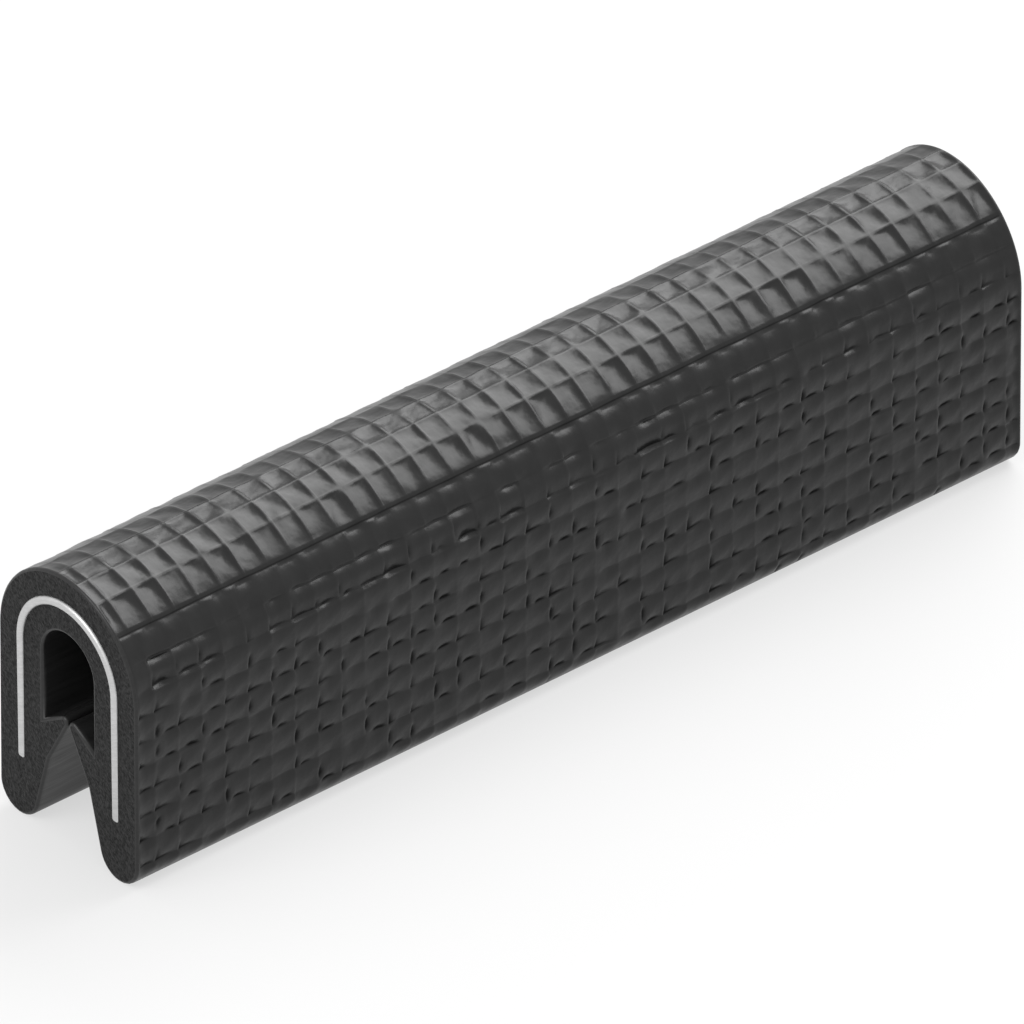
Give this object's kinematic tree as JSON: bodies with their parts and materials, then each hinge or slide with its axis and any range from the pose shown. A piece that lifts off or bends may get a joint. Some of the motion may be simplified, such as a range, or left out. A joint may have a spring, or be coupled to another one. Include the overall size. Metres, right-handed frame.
{
  "type": "edge trim seal",
  "caption": "Short length of push-on edge trim: a soft rubber channel with a rounded crown and two gripping lips, moulded round a U-shaped steel insert.",
  "frame": {"origin": "on the level floor under the middle of the trim, half way between the two feet and the two cut ends", "axes": "+Y along the trim's length, +Z from the feet up to the crown, +X across the width"},
  "size_m": [0.0094, 0.0516, 0.0144],
  "materials": {
    "rubber": "matt black, embossed outside, finely grained on the cut ends",
    "steel": "bright cut edge"
  },
  "bodies": {
    "root": {"rubber_profile": "rubber", "steel_insert": "steel"}
  },
  "joints": []
}
